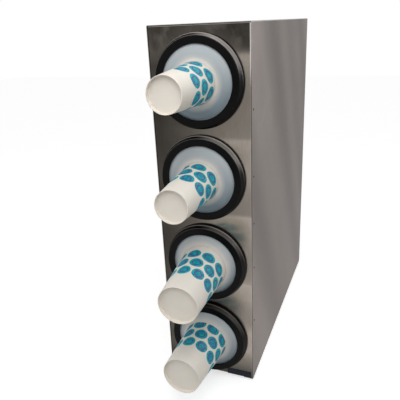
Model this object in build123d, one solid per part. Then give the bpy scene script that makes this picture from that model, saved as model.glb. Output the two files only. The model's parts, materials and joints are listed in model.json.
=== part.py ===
from build123d import *
import os
from dataclasses import dataclass
from math import cos, radians, sin, sqrt

# Cup dispenser: a tall, narrow steel cabinet that holds four sprung cup tubes, one above the other.
# Millimetres. +X points right as seen from the front, -Y is the front and +Z is up.
# The origin is on the counter, in the middle of the space that the whole object takes up.

# Gaps, and the overrun of every cut
seat_gap = 0.3
running_gap = 0.3
sheet_gap = 0.15
overrun = 2.0

# Flat sides of each turned piece, which keep the whole part light
full_turn = 360
ring_sides = 48
tube_sides = 36
cup_sides = 36
spring_sides = 24
rivet_sides = 8
screw_sides = 6

# Paper cups, how deep each rim sits in its bay, and how far each base drifts right and up
cup_wall = 0.6
cup_skirt = 1.1
cup_recess = 8.0
rim_bead = 2.4
rim_bead_height = 3.2
rim_depths = (13.0, 9.0, 11.9, 31.8)
base_drifts = ((0.4, -1.3), (1.3, -1.5), (5.0, -3.4), (-7.8, 4.0))

# Dispenser tube, and the collar in front of the panel that carries the gasket and the bayonet
bore_clearance = 8.9
tube_wall = 2.0
mouth_flare = 8.0
channel_floor = 4.0
channel_depth = 7.0
channel_back = 3.0
channel_width = 5.0
channel_lip = 3.0

# Trim ring
ring_play = 3.0
ring_wall = 5.0
ring_face = 4.1
ring_opening_step = 0.5
ring_band_margin = 6.6
ring_band_step = 1.4
ring_band_fall = 0.6
ring_wall_draft = 1.0
shoulder_start = 7.0
shoulder_land = 1.4
shoulder_bulge = 1.1

# Bayonet lugs on the trim ring, and the slots that let them into the collar's channel
lug_count = 3
lug_turn = 90.0
lug_reach = 5.5
lug_height = 4.0
lug_angle = 24.0
slot_angle = 30.0
ring_twist = 30.0

# Gasket
gasket_thickness = 1.4
gasket_edge_gap = 1.5
gasket_shoulder = 10.5
gasket_knee_rise = 7.8
gasket_lip_rise = 11.4
gasket_lip_margin = 2.1

# Pusher, spring and end cap
pusher_plate = 3.0
pusher_skirt = 22.0
pusher_wall = 2.0
spring_clearance = 10.0
spring_skin = 0.2
cap_depth = 11.0

# Bays, one above the other, and the cabinet, which is as wide and high as its trim rings need
bay_count = 4
ring_gap = 10.8
side_clearance = 12.6
head_clearance = 14.2
base_clearance = 9.4
cabinet_depth = 598.0
sheet = 1.2
bend_radius = 2.4
wrap_return = 22.0
front_return = 18.0
corner_notch = 5.0

# Bars under the rear of each tube, and clips that hold each tube to the front panel
bar_leg = 15.0
bar_thickness = 1.5
bar_setback = 60.0
clip_leg = 16.0
clip_thickness = 1.5
clip_width = 14.0

# Blank plate beside the lowest ring, rivets, screws and feet
plate_ring_gap = 4.1
plate_width = 15.0
plate_thickness = 0.8
plate_side_margin = 5.5
plate_base_margin = 2.0
rivet_radius = 2.1
rivet_height = 0.9
rivet_setback = 10.0
rivet_height_shares = (0.2, 0.37, 0.5, 0.63, 0.8)
screw_radius = 3.6
screw_height = 2.2
screw_rows = 3
screw_end_margin = 60.0
foot_height = 6.0
foot_size = 18.0
foot_inset = 3.0
foot_draft_angle = 8.0


@dataclass
class Cup:
    """A paper cup, by its height and the radii of its wall at the rim and at the base."""

    height: float
    rim_radius: float
    base_radius: float


@dataclass
class Load:
    """The cup in one bay: how deep its rim sits, and how far its base drifts off the bay's axis."""

    cup: Cup
    rim_depth: float
    drift_right: float
    drift_up: float

    @property
    def drift(self):
        return sqrt(self.drift_right**2 + self.drift_up**2)

    @property
    def length(self):
        """Length of the leaning cup, measured along the bay."""
        return sqrt(self.cup.height**2 - self.drift**2)

    @property
    def rim_back(self):
        """Depth of the rearmost point of the leaning rim."""
        return self.rim_depth + (self.cup.rim_radius + rim_bead) * self.drift / self.cup.height


medium_cup = Cup(height=170.0, rim_radius=41.7, base_radius=31.9)
large_cup = Cup(height=182.0, rim_radius=50.7, base_radius=39.7)
cups = (medium_cup, medium_cup, large_cup, large_cup)
loads = [Load(cup, depth, *drift) for cup, depth, drift in zip(cups, rim_depths, base_drifts)]

# Sizes and places that follow from the values above
bore_radius = max(cup.rim_radius for cup in cups) + rim_bead + bore_clearance
tube_radius = bore_radius + tube_wall
mouth_radius = bore_radius + mouth_flare
channel_radius = mouth_radius + channel_floor
flange_radius = channel_radius + channel_depth
flange_height = channel_back + channel_width + channel_lip
ring_recess_radius = flange_radius + ring_play
ring_radius = ring_recess_radius + ring_wall
ring_opening_radius = mouth_radius - ring_opening_step
ring_seat = flange_height + gasket_thickness + seat_gap
ring_height = ring_seat + ring_face
bay_pitch = 2 * ring_radius + ring_gap
cabinet_width = 2 * (ring_radius + side_clearance)
cabinet_height = head_clearance + 2 * ring_radius + (bay_count - 1) * bay_pitch + base_clearance
cup_reach = max(load.length - load.rim_depth for load in loads)
front_y = (cup_reach - cabinet_depth - screw_height) / 2
back_y = front_y + cabinet_depth
base_z = foot_height
top_z = base_z + cabinet_height
inner_half_width = cabinet_width / 2 - sheet
panel_half_width = inner_half_width - bend_radius - sheet_gap
tube_length = cabinet_depth - 2 * sheet


def bay_height(bay):
    return top_z - head_clearance - ring_radius - bay * bay_pitch


def bay_place(bay):
    """The bay's own frame: X to the right, Y up, and Z forward from the face of the front panel."""
    return Plane(origin=(0, front_y, bay_height(bay)), x_dir=(1, 0, 0), z_dir=(0, -1, 0)).location


def cup_place(load):
    """The cup's frame within its bay: the rim is centred on the bay's axis, and Z runs to the base."""
    along = (load.drift_right, load.drift_up, load.length)
    return Plane(origin=(0, 0, -load.rim_depth), z_dir=along).location


def pusher_front(load):
    """The pusher stops just behind the rearmost point of the rim."""
    return -load.rim_back - seat_gap


def around(radius, turn):
    """The point at that radius and direction."""
    return (radius * cos(radians(turn)), radius * sin(radians(turn)))


def turned(*outline, sides):
    """A solid turned about Z with flat sides, from points given as radius and height."""
    turns = [full_turn * side / sides for side in range(sides + 1)]
    faces = []
    for (radius, height), (next_radius, next_height) in zip(outline, outline[1:] + outline[:1]):
        if radius == next_radius == 0:
            continue
        for turn, next_turn in zip(turns, turns[1:]):
            corners = (
                (*around(radius, turn), height),
                (*around(radius, next_turn), height),
                (*around(next_radius, next_turn), next_height),
                (*around(next_radius, turn), next_height),
            )
            faces.append(Face(Wire.make_polygon(dict.fromkeys(corners))))
    return Solid(Shell(faces)).clean()


def slab(x_span, y_span, z_span):
    """A box given by its two ends along each axis."""
    size = [high - low for low, high in (x_span, y_span, z_span)]
    centre = [(high + low) / 2 for low, high in (x_span, y_span, z_span)]
    return Pos(*centre) * Box(*size)


def bayonet_sectors(inner, outer, low, high, angle, offset):
    """Part of a ring at each of the bayonet's stations."""
    sectors = []
    for station in range(lug_count):
        middle = lug_turn + offset + full_turn * station / lug_count
        turns = (middle - angle / 2, middle, middle + angle / 2)
        outline = [around(outer, turn) for turn in turns] + [around(inner, turn) for turn in turns[::-1]]
        sectors.append(Pos(0, 0, low) * extrude(make_face(Polyline(*outline, close=True)), high - low))
    return sectors


# Cabinet


def bent_tray(block, open_end):
    """A sheet metal tray, open at one end along Y; its long edges and its other end are bent."""
    closed_end = -1 - open_end
    folded = chamfer(block.edges().filter_by(Axis.Y), bend_radius)
    bent = fillet(folded.faces().sort_by(Axis.Y)[closed_end].edges(), bend_radius)
    return offset(bent, -sheet, openings=bent.faces().sort_by(Axis.Y)[open_end])


def cabinet_wrap():
    """Top and both sides in one sheet, with its rear and bottom edges turned in."""
    block = slab((-cabinet_width / 2, cabinet_width / 2), (front_y, back_y), (base_z, top_z))
    wrap = bent_tray(block, open_end=0)
    window = cabinet_width / 2 - wrap_return
    below = base_z - overrun
    behind = back_y + overrun
    wrap -= slab((-window, window), (front_y - overrun, behind), (below, base_z + bend_radius))
    wrap -= slab((-window, window), (back_y - bend_radius, behind), (below, top_z - wrap_return))
    for side in (-1, 1):
        notch_ends = sorted((side * (cabinet_width / 2 + overrun), side * (window - overrun)))
        wrap -= slab(notch_ends, (back_y - corner_notch, behind), (below, base_z + corner_notch))
    return wrap


def front_panel():
    """Front sheet with all its edges turned back, and a hole for each tube."""
    half_width = inner_half_width - sheet_gap
    low = base_z + sheet + sheet_gap
    high = top_z - sheet - sheet_gap
    block = slab((-half_width, half_width), (front_y, front_y + front_return), (low, high))
    panel = bent_tray(block, open_end=-1)
    hole_radius = tube_radius + seat_gap
    behind = -sheet - overrun
    hole = turned(
        (0, behind),
        (hole_radius, behind),
        (hole_radius, overrun),
        (0, overrun),
        sides=tube_sides,
    )
    for bay in range(bay_count):
        panel -= bay_place(bay) * hole
    return panel


def base_panel():
    """Floor sheet behind the front panel, laid on the turned-in bottom edges of the wrap."""
    return slab(
        (-panel_half_width, panel_half_width),
        (front_y + front_return + sheet_gap, back_y - 2 * sheet - sheet_gap),
        (base_z + sheet, base_z + 2 * sheet),
    )


def back_panel():
    """Rear sheet, inside the turned-in rear edges of the wrap and clear of their bends."""
    return slab(
        (-panel_half_width, panel_half_width),
        (back_y - 2 * sheet, back_y - sheet),
        (base_z, top_z - bend_radius - sheet_gap),
    )


def angle_piece(leg, thickness, length):
    """A length of equal angle: the outer corner runs along Z, and the legs run along +X and -Y."""
    section = Polyline(
        (0, 0),
        (leg, 0),
        (leg, -thickness),
        (thickness, -thickness),
        (thickness, -leg),
        (0, -leg),
        close=True,
    )
    return extrude(make_face(section), length / 2, both=True)


def tube_rest_bars():
    """An angle bar across the cabinet under the rear end of each tube."""
    bar = Plane.YZ.location * angle_piece(bar_leg, bar_thickness, 2 * (inner_half_width - sheet_gap))
    return [
        Pos(0, back_y - bar_setback, bay_height(bay) - tube_radius) * bar for bay in range(bay_count)
    ]


def tube_clips():
    """Two angle clips behind the front panel for each tube, one leg on the tube and one on the panel."""
    clip = Plane.XZ.location * angle_piece(clip_leg, clip_thickness, clip_width)
    return [
        bay_place(bay) * Rot(0, 0, turn) * Pos(tube_radius + seat_gap, 0, -sheet) * clip
        for bay in range(bay_count)
        for turn in (0, full_turn / 2)
    ]


def label_plate():
    """Blank plate in the corner beside the lowest trim ring."""
    low = base_z + plate_base_margin
    high = low + plate_width
    drop = bay_height(bay_count - 1) - high
    left = sqrt(max(ring_radius**2 - drop**2, 0)) + plate_ring_gap
    right = cabinet_width / 2 - plate_side_margin
    return slab((left, right), (front_y - plate_thickness, front_y), (low, high))


def side_rivets():
    """Rivet heads along both sides, which hold the turned-back edges of the front panel."""
    crown_radius = rivet_radius - rivet_height / 2
    outline = ((0, 0), (rivet_radius, 0), (crown_radius, rivet_height), (0, rivet_height))
    head = turned(*outline, sides=rivet_sides)
    return [
        Pos(side * cabinet_width / 2, front_y + rivet_setback, base_z + share * cabinet_height)
        * Rot(Y=side * full_turn / 4)
        * head
        for side in (-1, 1)
        for share in rivet_height_shares
    ]


def screw_places(span):
    """Distances of one row of screws along an edge of that length."""
    step = (span - 2 * screw_end_margin) / (screw_rows - 1)
    return [screw_end_margin + row * step for row in range(screw_rows)]


def back_screws():
    """Hexagon screws along the turned-in rear edges."""
    head = Rot(X=-full_turn / 4) * extrude(RegularPolygon(screw_radius, screw_sides), screw_height)
    x_at = (cabinet_width - wrap_return) / 2
    return [
        Pos(side * x_at, back_y, base_z + height) * head
        for side in (-1, 1)
        for height in screw_places(cabinet_height)
    ]


def base_screws():
    """Hexagon screws along the turned-in bottom edges."""
    head = extrude(RegularPolygon(screw_radius, screw_sides), -screw_height)
    x_at = (cabinet_width - wrap_return) / 2
    return [
        Pos(side * x_at, front_y + depth, base_z) * head
        for side in (-1, 1)
        for depth in screw_places(cabinet_depth)
    ]


def foot_pads():
    """A square rubber pad under each corner."""
    pad = extrude(Rectangle(foot_size, foot_size), -foot_height, taper=foot_draft_angle)
    x_at = (cabinet_width - foot_size) / 2 - foot_inset
    y_inset = corner_notch + foot_inset + foot_size / 2
    return [
        Pos(side * x_at, y_at, base_z) * pad
        for side in (-1, 1)
        for y_at in (front_y + y_inset, back_y - y_inset)
    ]


# Pieces of one bay, each built in the bay's own frame


def dispenser_tube():
    """Plain tube from the front panel to the back panel."""
    return turned(
        (bore_radius, -tube_length),
        (tube_radius, -tube_length),
        (tube_radius, 0),
        (bore_radius, 0),
        sides=tube_sides,
    )


def tube_collar():
    """Collar at the tube's mouth, with a channel for the trim ring's lugs, and slots into it."""
    channel_front = channel_back + channel_width
    body = turned(
        (bore_radius, 0),
        (flange_radius, 0),
        (flange_radius, channel_back),
        (channel_radius, channel_back),
        (channel_radius, channel_front),
        (flange_radius, channel_front),
        (flange_radius, flange_height),
        (mouth_radius, flange_height),
        sides=tube_sides,
    )
    return body - bayonet_sectors(
        channel_radius - seat_gap,
        flange_radius + overrun,
        channel_back + channel_width / 2,
        flange_height + overrun,
        slot_angle,
        ring_twist,
    )


def trim_ring():
    """Ring that twists onto the collar and traps the gasket: drafted wall, round shoulder, sunk step."""
    wall_top = (ring_radius - ring_wall_draft, shoulder_start)
    band_radius = ring_radius - ring_band_margin
    step_height = ring_height - ring_band_step
    shoulder_top = (band_radius + shoulder_land, step_height)
    shoulder_middle = (
        (wall_top[0] + shoulder_top[0]) / 2 + shoulder_bulge,
        (wall_top[1] + shoulder_top[1]) / 2 + shoulder_bulge / 2,
    )
    body = turned(
        (ring_recess_radius, seat_gap),
        (ring_radius, seat_gap),
        wall_top,
        shoulder_middle,
        shoulder_top,
        (band_radius, step_height),
        (band_radius, ring_height),
        (ring_opening_radius, ring_height - ring_band_fall),
        (ring_opening_radius, ring_seat),
        (ring_recess_radius, ring_seat),
        sides=ring_sides,
    )
    lug_low = channel_back + (channel_width - lug_height) / 2
    return body + bayonet_sectors(
        flange_radius - lug_reach,
        (ring_recess_radius + ring_radius) / 2,
        lug_low,
        lug_low + lug_height,
        lug_angle,
        0,
    )


def gasket(load):
    """Soft domed gasket, whose hole follows the cup that it holds."""
    seat_radius = ring_recess_radius - gasket_edge_gap
    face_height = flange_height + gasket_thickness
    root_radius = ring_opening_radius - seat_gap
    knee = (ring_opening_radius - gasket_shoulder, flange_height + gasket_knee_rise)
    lip = (load.cup.base_radius + gasket_lip_margin, flange_height + gasket_lip_rise)
    dome = turned(
        (seat_radius, flange_height),
        (seat_radius, face_height),
        (root_radius, face_height),
        knee,
        lip,
        (lip[0], lip[1] - gasket_thickness),
        (knee[0], knee[1] - gasket_thickness),
        (root_radius, flange_height),
        sides=tube_sides,
    )
    cup = load.cup
    space = turned(
        (0, 0),
        (cup.rim_radius + seat_gap, 0),
        (cup.base_radius + seat_gap, cup.height),
        (0, cup.height),
        sides=cup_sides,
    )
    return dome - cup_place(load) * space


def front_cup(load):
    """Paper cup with a rim bead and a base set up inside its skirt, base forward."""
    cup = load.cup
    taper_share = (cup.rim_radius - cup.base_radius) / cup.height
    floor_at = cup.height - cup_recess
    inner_floor_at = floor_at - cup_wall
    body = turned(
        (cup.rim_radius - cup_wall, 0),
        (cup.rim_radius + rim_bead, 0),
        (cup.rim_radius + rim_bead, rim_bead_height),
        (cup.rim_radius - taper_share * rim_bead_height, rim_bead_height),
        (cup.base_radius, cup.height),
        (cup.base_radius - cup_skirt, cup.height),
        (cup.base_radius - cup_skirt, floor_at),
        (0, floor_at),
        (0, inner_floor_at),
        (cup.rim_radius - cup_wall - taper_share * inner_floor_at, inner_floor_at),
        sides=cup_sides,
    )
    return cup_place(load) * body


def pusher(load):
    """Cup-shaped follower that slides in the bore behind the cups."""
    front = pusher_front(load)
    outer = bore_radius - running_gap
    return turned(
        (0, front),
        (outer, front),
        (outer, front - pusher_skirt),
        (outer - pusher_wall, front - pusher_skirt),
        (outer - pusher_wall, front - pusher_plate),
        (0, front - pusher_plate),
        sides=tube_sides,
    )


def spring(load):
    """Thin sleeve as large as the coil spring and about as heavy, from the end cap to the pusher."""
    front = pusher_front(load) - pusher_plate - seat_gap
    back = cap_depth + seat_gap - tube_length
    outer = bore_radius - spring_clearance
    return turned(
        (outer - spring_skin, back),
        (outer, back),
        (outer, front),
        (outer - spring_skin, front),
        sides=spring_sides,
    )


def end_cap():
    """Plug in the rear end of the tube, which bears on the back panel."""
    cap_radius = bore_radius - sheet_gap
    back = -tube_length
    return turned(
        (0, back),
        (cap_radius, back),
        (cap_radius, back + cap_depth),
        (0, back + cap_depth),
        sides=tube_sides,
    )


def node(pieces, name):
    """One node, as a compound of its separate solids."""
    solids = [solid for piece in pieces for solid in piece.solids()]
    return Compound(label=name, children=solids)


def build():
    """All nodes by name."""
    cabinet = {
        "cabinet_wrap": [cabinet_wrap()],
        "front_panel": [front_panel()],
        "base_panel": [base_panel()],
        "back_panel": [back_panel()],
        "tube_rest_bars": tube_rest_bars(),
        "tube_clips": tube_clips(),
        "label_plate": [label_plate()],
        "side_rivets": side_rivets(),
        "back_screws": back_screws(),
        "base_screws": base_screws(),
        "foot_pads": foot_pads(),
    }
    same_in_each_bay = {
        "dispenser_tube": dispenser_tube(),
        "tube_collar": tube_collar(),
        "end_cap": end_cap(),
        "trim_ring": trim_ring(),
    }
    nodes = {name: node(pieces, name) for name, pieces in cabinet.items()}
    for bay, load in enumerate(loads):
        bay_pieces = same_in_each_bay | {
            "spring": spring(load),
            "pusher": pusher(load),
            "gasket": gasket(load),
            "front_cup": front_cup(load),
        }
        for piece_name, piece in bay_pieces.items():
            name = f"{piece_name}_{bay + 1}"
            nodes[name] = node([bay_place(bay) * piece], name)
    return nodes


nodes = build()
os.makedirs("parts", exist_ok=True)
for name, shape in nodes.items():
    export_step(shape, f"parts/{name}.step")
print(f"{len(nodes)} nodes")
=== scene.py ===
import json
from math import cos, pi, radians, sin

import bmesh
import bpy
from mathutils import Matrix, Vector


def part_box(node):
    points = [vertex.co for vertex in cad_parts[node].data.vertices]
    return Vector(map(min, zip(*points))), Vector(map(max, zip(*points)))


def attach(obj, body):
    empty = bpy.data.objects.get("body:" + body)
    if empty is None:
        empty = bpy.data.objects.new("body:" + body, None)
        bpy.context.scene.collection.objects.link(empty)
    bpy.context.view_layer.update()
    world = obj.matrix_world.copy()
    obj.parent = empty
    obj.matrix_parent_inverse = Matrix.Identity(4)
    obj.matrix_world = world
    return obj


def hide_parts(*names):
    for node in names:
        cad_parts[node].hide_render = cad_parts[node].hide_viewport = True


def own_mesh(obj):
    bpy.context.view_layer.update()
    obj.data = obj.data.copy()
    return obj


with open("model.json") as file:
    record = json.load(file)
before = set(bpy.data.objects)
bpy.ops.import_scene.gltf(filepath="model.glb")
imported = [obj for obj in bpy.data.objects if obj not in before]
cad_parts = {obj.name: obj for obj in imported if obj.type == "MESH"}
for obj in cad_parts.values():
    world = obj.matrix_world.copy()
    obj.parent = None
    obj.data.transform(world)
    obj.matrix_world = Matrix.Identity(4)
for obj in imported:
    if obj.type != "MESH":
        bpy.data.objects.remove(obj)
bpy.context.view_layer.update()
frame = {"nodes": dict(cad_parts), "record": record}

# Cup dispenser: a tall, narrow steel cabinet that holds four sprung cup tubes, one above the other.
# Sizes are in millimetres until a piece's mesh is written; finishes, lamps and camera are in metres.
# +X is right, -Y is the front, +Z is up.

mm = 0.001
record = frame["record"]
body_of = {node: body for body, nodes in record["behaviour"]["bodies"].items() for node in nodes}

# Cabinet
half_width = 101.6
front_y = -215.1
back_y = 382.9
base_z = 6.0
top_z = 774.0
sheet = 1.2
bend_radius = 2.4
bend_steps = 5
wrap_return = 22.0
corner_notch = 5.0
front_half_width = 100.25
front_low = 7.35
front_high = 772.65
front_return = 18.0

# Rivets, screws and feet: radius and height of a head, then where they are
rivet_size = (2.1, 0.9)
rivet_y = front_y + 10
rivet_heights = (159.6, 290.2, 390.0, 489.8, 620.4)
screw_size = (3.6, 2.2)
screw_x = half_width - wrap_return / 2
back_screw_heights = (66.0, 390.0, 714.0)
base_screw_depths = (-155.1, 83.9, 322.9)
foot_half = 9.0
foot_half_at_floor = 8.15
foot_x = 89.6
foot_depths = (-198.1, 365.9)

# Bays, from the top down; lengths along a bay's axis count forward from the face of the front panel
bay_heights = (670.8, 482.0, 293.2, 104.4)
bay_count = len(bay_heights)
round_sides = 96
hole_radius = 64.3
bore_radius = 62.0
tube_radius = 64.0
tube_back = -595.6
cap_radius = 61.85
cap_front = tube_back + 11
pusher_radius = 61.7
pusher_length = 22
pusher_wall = 2
pusher_floor = 3

# Collar and its bayonet: the lugs of the trim ring turn in its channel, and come in by its slots
mouth_radius = 70.0
channel_radius = 74.0
flange_radius = 81.0
channel_back = 3.0
channel_front = 8.0
flange_height = 11.0
stations = 3
lug_angle = 24
lug_inner_radius = 75.5
lug_outer_radius = 86.5
lug_back = 3.5
lug_front = 7.5
slot_angle = 30
slot_back = 5.5
turn_to_slot = 30

# Trim ring, with the foot and the head of its shoulder as radius and height
ring_recess_radius = 84.0
ring_radius = 89.0
ring_back = 0.3
ring_seat = 12.7
shoulder_foot = (88.2, 6.4)
shoulder_head = (83.8, 15.4)
ring_face_radius = 82.4
ring_face_front = 16.8
ring_opening_radius = 69.5
ring_opening_front = 16.2

# Gasket: a flat rim under the ring, then a dome from its root to the cup
gasket_radius = 82.5
gasket_back = 11.05
gasket_thickness = 1.4
dome_root_radius = 69.2
dome_root_height = 12.4
dome_top_radius = 34.0
dome_top_height = 22.6
dome_fullness = 2.6
lip_gap = 0.35
lip_thickness = 0.5
lip_flare = 2.6
lip_flare_reach = 6.0
lip_thin_reach = 5.0
# How far from the lip the painted cream glow reaches
cup_glow_reach = 26.0

# Spring
spring_radius = 52.0
wire_radius = 1.3
coil_turns = 15

# Cups: height, rim and base radius, then how deep the rim sits and how far the base drifts
cup_wall = 0.6
cup_skirt = 1.1
cup_recess = 8.0
rim_bead = 2.4
rim_bead_height = 3.2
medium_cup = (170.0, 41.7, 31.9)
large_cup = (182.0, 50.7, 39.7)
cups = (medium_cup, medium_cup, large_cup, large_cup)
rim_depths = (13.0, 9.0, 11.9, 31.8)
base_drifts = ((0.4, -1.3), (1.3, -1.5), (5.0, -3.4), (-7.8, 4.0))


# Meshes


def bay_place(bay):
    """The bay's own frame: X to the right, Y up, and Z forward from the face of the front panel."""
    return Matrix(((1, 0, 0, 0), (0, 0, -1, front_y), (0, 1, 0, bay_heights[bay]), (0, 0, 0, 1)))


def cup_place(bay):
    """The cup's frame within its bay: the rim is on the bay's axis, and Z runs to the leaning base."""
    height, _, _ = cups[bay]
    right, up = base_drifts[bay]
    length = (height**2 - right**2 - up**2) ** 0.5
    along = Vector((right, up, length)).normalized()
    across = Vector((1, 0, 0))
    across = (across - across.dot(along) * along).normalized()
    turn = Matrix((across, along.cross(across), along)).transposed().to_4x4()
    return Matrix.Translation((0, 0, -rim_depths[bay])) @ turn


def rounded(outline, radius, steps=4):
    """The same closed outline with its corners eased; those on the axis stay as they are."""
    eased = []
    for before, corner, after in zip(outline[-1:] + outline[:-1], outline, outline[1:] + outline[:1]):
        if corner[0] == 0:
            eased.append(corner)
            continue
        here = Vector(corner)
        back = Vector(before) - here
        ahead = Vector(after) - here
        reach = min(radius, back.length / 2.2, ahead.length / 2.2)
        start = here + back.normalized() * reach
        end = here + ahead.normalized() * reach
        for step in range(steps + 1):
            share = step / steps
            point = start * (1 - share) ** 2 + here * 2 * share * (1 - share) + end * share**2
            eased.append(tuple(point))
    return eased


def turned(outline, sides=round_sides):
    """A closed shell turned about Z. U runs round it, and V along the outline in metres."""
    shell = bmesh.new()
    uv_layer = shell.loops.layers.uv.verify()
    rings = []
    along = [0.0]
    for (radius, height), following in zip(outline, outline[1:] + outline[:1]):
        along.append(along[-1] + (Vector(following) - Vector((radius, height))).length * mm)
        if radius == 0:
            rings.append([shell.verts.new((0, 0, height))] * (sides + 1))
            continue
        ring = []
        for side in range(sides):
            turn = 2 * pi * side / sides
            ring.append(shell.verts.new((radius * cos(turn), radius * sin(turn), height)))
        rings.append(ring + ring[:1])
    for step, (ring, following) in enumerate(zip(rings, rings[1:] + rings[:1])):
        for side in range(sides):
            corners = [(ring[at], at, along[step]) for at in (side, side + 1)]
            corners += [(following[at], at, along[step + 1]) for at in (side + 1, side)]
            unique = [corner for at, corner in enumerate(corners) if corner[0] is not corners[at - 1][0]]
            if len(unique) < 3:
                continue
            face = shell.faces.new([vert for vert, _, _ in unique])
            for loop, (_, around, distance) in zip(face.loops, unique):
                loop[uv_layer].uv = (around / sides, distance)
    return shell


def block(low, high):
    """A box between two corners."""
    shell = bmesh.new()
    low, high = Vector(low), Vector(high)
    place = Matrix.Translation((low + high) / 2) @ Matrix.Diagonal((*(high - low), 1))
    bmesh.ops.create_cube(shell, size=1, matrix=place)
    return shell


def sectors(shell, radii, heights, angle, offset=0, steps=8):
    """Adds part of a ring at each of the bayonet's stations."""
    (inner, outer), (low, high) = radii, heights
    profile = ((inner, low), (outer, low), (outer, high), (inner, high))
    for station in range(stations):
        start = radians(90 + offset + 360 * station / stations - angle / 2)
        rows = []
        for step in range(steps + 1):
            turn = start + radians(angle) * step / steps
            spots = [(radius * cos(turn), radius * sin(turn), z) for radius, z in profile]
            rows.append([shell.verts.new(spot) for spot in spots])
        for row, following in zip(rows, rows[1:]):
            for at in range(4):
                shell.faces.new((row[at - 1], row[at], following[at], following[at - 1]))
        shell.faces.new(rows[0])
        shell.faces.new(rows[-1])
    return shell


def sheet_edges(shell, places):
    """The edges whose middles lie at the given pairs of fixed coordinates."""
    found = []
    for edge in shell.edges:
        middle = (edge.verts[0].co + edge.verts[1].co) / 2
        run = edge.verts[1].co - edge.verts[0].co
        for axes in places:
            if all(abs(middle[axis] - value) < 0.01 and abs(run[axis]) < 0.01 for axis, value in axes):
                found.append(edge)
    return found


def ease(shell, edges, radius, steps):
    """Rounds those edges."""
    bmesh.ops.bevel(shell, geom=edges, offset=radius, segments=steps, profile=0.5, affect="EDGES")


def make_object(name, shell, place=Matrix.Identity(4), outward=True):
    """The shell as an object in metres, at the origin, with its place in its mesh."""
    if outward:
        bmesh.ops.recalc_face_normals(shell, faces=shell.faces)
    mesh = bpy.data.meshes.new(name)
    shell.to_mesh(mesh)
    shell.free()
    mesh.transform(Matrix.Scale(mm, 4) @ place)
    return shown(mesh)


def shown(mesh):
    """An object of the scene with that mesh, and with its name."""
    piece = bpy.data.objects.new(mesh.name, mesh)
    bpy.context.scene.collection.objects.link(piece)
    return piece


def settle(piece, sharp_angle=38):
    """Shades the piece smooth, keeps its flat faces flat, and keeps its sharp edges."""
    for face in piece.data.polygons:
        face.use_smooth = True
    piece.data.set_sharp_from_angle(angle=radians(sharp_angle))
    even = piece.modifiers.new("even shading", "WEIGHTED_NORMAL")
    even.keep_sharp = True
    even.weight = 100
    flatten(piece)
    return piece


def flatten(piece):
    """Replaces the piece's mesh by the result of its modifiers."""
    scene_state = bpy.context.evaluated_depsgraph_get()
    scene_state.update()
    result = bpy.data.meshes.new_from_object(piece.evaluated_get(scene_state))
    old = piece.data
    piece.modifiers.clear()
    piece.data = result
    result.name = piece.name
    bpy.data.meshes.remove(old)


def cut(piece, cutter):
    """Takes the cutter's shape out of the piece."""
    hole = piece.modifiers.new("cut", "BOOLEAN")
    hole.operation = "DIFFERENCE"
    hole.solver = "EXACT"
    hole.object = cutter
    flatten(piece)
    bpy.data.objects.remove(cutter)


# Node trees


def join(tree, kind, inputs=None, **settings):
    """Adds a node, sets it, and joins or fills its inputs, which are given by name or by number."""
    node = tree.nodes.new(kind)
    for setting, value in settings.items():
        setattr(node, setting, value)
    for key, value in (inputs or {}).items():
        socket = node.inputs[key]
        if isinstance(value, bpy.types.NodeSocket):
            tree.links.new(value, socket)
        else:
            socket.default_value = value
    return node


def new_group(name, inputs, outputs, kind="ShaderNodeTree"):
    """A tree that is used as one node, with named inputs and outputs of given kinds."""
    tree = bpy.data.node_groups.new(name, kind)
    for in_out, sockets in (("INPUT", inputs), ("OUTPUT", outputs)):
        for socket_name, socket_kind in sockets.items():
            tree.interface.new_socket(socket_name, in_out=in_out, socket_type="NodeSocket" + socket_kind)
    return tree, tree.nodes.new("NodeGroupInput").outputs, tree.nodes.new("NodeGroupOutput").inputs


def arithmetic(tree, operation, *values, clamp=False):
    """A math node's result."""
    node = join(tree, "ShaderNodeMath", dict(enumerate(values)), operation=operation, use_clamp=clamp)
    return node.outputs[0]


def plus(tree, first, second, clamp=False):
    return arithmetic(tree, "ADD", first, second, clamp=clamp)


def minus(tree, first, second):
    return arithmetic(tree, "SUBTRACT", first, second)


def times(tree, first, second):
    return arithmetic(tree, "MULTIPLY", first, second)


def larger(tree, first, second):
    return arithmetic(tree, "MAXIMUM", first, second)


def distance_from(tree, middle, value):
    """How far a value is from a middle."""
    return arithmetic(tree, "ABSOLUTE", minus(tree, value, middle))


def spread(tree, value, from_low, from_high, to_low=0.0, to_high=1.0, smooth=False):
    """The value moved from one range to another, and held at its ends."""
    node = join(
        tree,
        "ShaderNodeMapRange",
        {"Value": value, "From Min": from_low, "From Max": from_high, "To Min": to_low, "To Max": to_high},
        interpolation_type="SMOOTHSTEP" if smooth else "LINEAR",
    )
    return node.outputs["Result"]


def blend_colours(tree, share, first, second):
    """The second colour laid over the first by that share."""
    return join(tree, "ShaderNodeMix", {0: share, 6: first, 7: second}, data_type="RGBA").outputs[2]


def split(tree, vector):
    """A vector's X, Y and Z."""
    return join(tree, "ShaderNodeSeparateXYZ", {"Vector": vector}).outputs


def object_point(tree):
    return join(tree, "ShaderNodeTexCoord").outputs["Object"]


def facing(tree):
    """The way the surface faces, as X, Y and Z."""
    return split(tree, join(tree, "ShaderNodeTexCoord").outputs["Normal"])


def outline_point(tree):
    """X is the share of the way round a turned piece, and Y the way along its outline in metres."""
    return split(tree, join(tree, "ShaderNodeUVMap").outputs["UV"])


def noise(tree, point, scale, detail, distortion=0.0):
    """Soft random values."""
    inputs = {"Vector": point, "Scale": scale, "Detail": detail, "Distortion": distortion}
    return join(tree, "ShaderNodeTexNoise", inputs).outputs["Fac"]


# Effects that finishes share


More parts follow.
